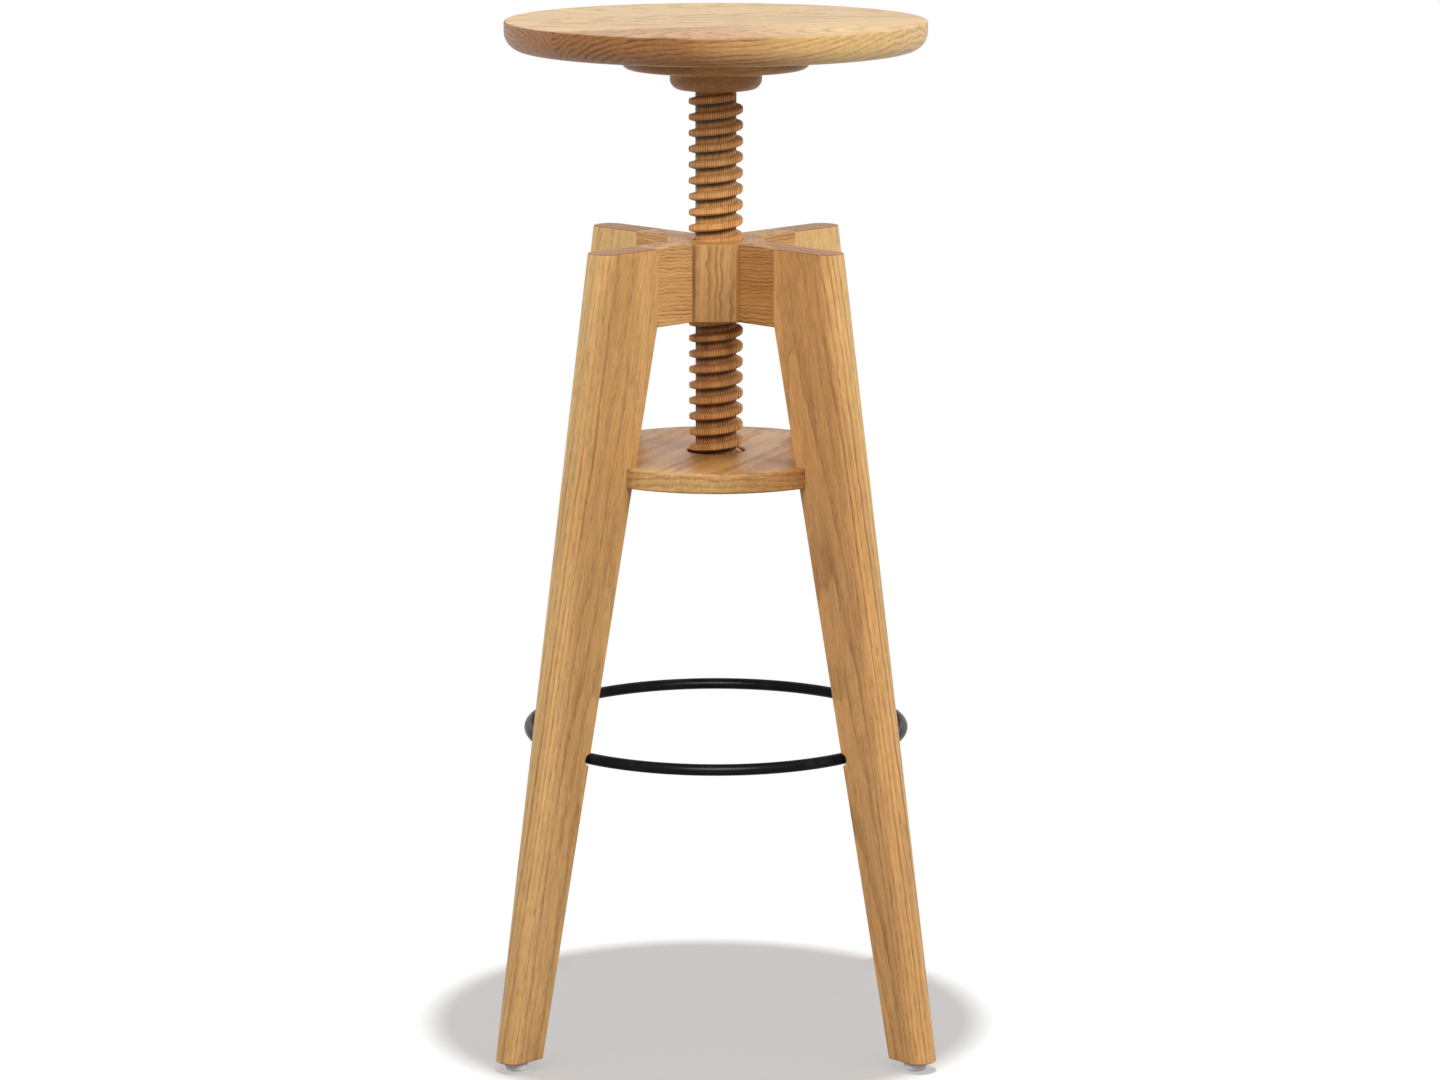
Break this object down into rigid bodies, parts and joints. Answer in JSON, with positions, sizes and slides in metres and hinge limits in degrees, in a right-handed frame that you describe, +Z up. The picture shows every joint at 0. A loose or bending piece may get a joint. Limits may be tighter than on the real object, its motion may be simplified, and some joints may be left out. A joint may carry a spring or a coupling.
{
  "type": "counter stool",
  "caption": "Oak counter stool with a round seat on a wooden screw, a threaded hub on splayed legs, a round guide shelf and a black steel foot ring.",
  "frame": {"origin": "on the floor, on the axis of the screw", "axes": "+Z up along the screw, front of the stool towards -Y, legs on the diagonals"},
  "size_m": [0.3298, 0.3298, 0.772],
  "materials": {
    "seat_oak": "matt oiled oak, flat sawn",
    "frame_oak": "matt oiled oak, straight grain",
    "screw_oak": "turned oak, matt oiled, darker",
    "shelf_oak": "satin oak veneer",
    "dowel_beech": "plain beech dowel",
    "black_steel": "satin black powder coat",
    "zinc_steel": "bright zinc plate",
    "glide_plastic": "translucent white plastic"
  },
  "bodies": {
    "frame": {"hub": "frame_oak", "shelf": "shelf_oak", "foot_ring": "black_steel", "arm_dowels": "dowel_beech", "glide_nails": "zinc_steel", "arm_front_right": "frame_oak", "leg_front_right": "frame_oak", "glide_front_right": "glide_plastic", "arm_back_right": "frame_oak", "leg_back_right": "frame_oak", "glide_back_right": "glide_plastic", "arm_back_left": "frame_oak", "leg_back_left": "frame_oak", "glide_back_left": "glide_plastic", "arm_front_left": "frame_oak", "leg_front_left": "frame_oak", "glide_front_left": "glide_plastic"},
    "stop": {"stop_washer": "zinc_steel"},
    "seat": {"seat_stave_front": "seat_oak", "seat_stave_middle": "seat_oak", "seat_stave_back": "seat_oak", "seat_plate": "seat_oak", "seat_collar": "seat_oak", "screw_post": "screw_oak", "plate_screws": "zinc_steel", "post_screw": "zinc_steel", "stop_bolt": "zinc_steel"}
  },
  "joints": [
    {"name": "seat_lift", "type": "slide", "parent": "frame", "child": "stop", "axis": [0, 0, 1], "range_m": [-0.1125, 0.0053]},
    {"name": "seat_turn", "type": "hinge", "parent": "stop", "child": "seat", "pos_m": [0, 0, 0.6], "axis": [0, 0, 1], "range_deg": [-3360, 150]}
  ],
  "couplings": [
    {"joint": "seat_lift", "follows": "seat_turn", "m_per_rad": 0.0019099}
  ]
}
